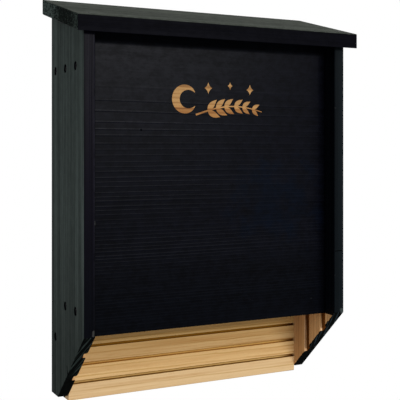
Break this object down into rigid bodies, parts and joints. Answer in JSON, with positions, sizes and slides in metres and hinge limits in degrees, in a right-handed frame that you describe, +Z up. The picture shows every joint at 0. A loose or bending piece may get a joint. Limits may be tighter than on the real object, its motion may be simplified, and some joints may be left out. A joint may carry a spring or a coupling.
{
  "type": "bat box",
  "caption": "Two-chamber wooden bat box with a sloping roof, a front panel housed between side boards and a kerfed landing board, for hanging on a wall.",
  "frame": {"origin": "on the back face, midway between the two hanging slots, on the line where the slots' round upper ends take their screws", "axes": "+X across the box, to the right as seen from the front; +Y out of the back face, towards the wall; +Z up"},
  "size_m": [0.373, 0.132, 0.4856],
  "materials": {
    "painted_wood": "thin matt black outdoor stain over planed cedar, with the grain showing and bare wood on the inner faces",
    "bare_wood": "bare planed cedar",
    "black_screw": "black phosphate coating, satin"
  },
  "bodies": {
    "root": {"back_board": "bare_wood", "left_side": "painted_wood", "right_side": "painted_wood", "front_panel": "painted_wood", "partition": "bare_wood", "roof": "painted_wood", "left_screw_panel_top": "black_screw", "left_screw_panel_low": "black_screw", "left_screw_partition_top": "black_screw", "left_screw_partition_low": "black_screw", "left_screw_back_top": "black_screw", "left_screw_back_low": "black_screw", "right_screw_panel_top": "black_screw", "right_screw_panel_low": "black_screw", "right_screw_partition_top": "black_screw", "right_screw_partition_low": "black_screw", "right_screw_back_top": "black_screw", "right_screw_back_low": "black_screw", "roof_screw_left_front": "black_screw", "roof_screw_left_rear": "black_screw", "roof_screw_right_front": "black_screw", "roof_screw_right_rear": "black_screw", "roof_screw_back_left": "black_screw", "roof_screw_back_right": "black_screw"}
  },
  "joints": []
}
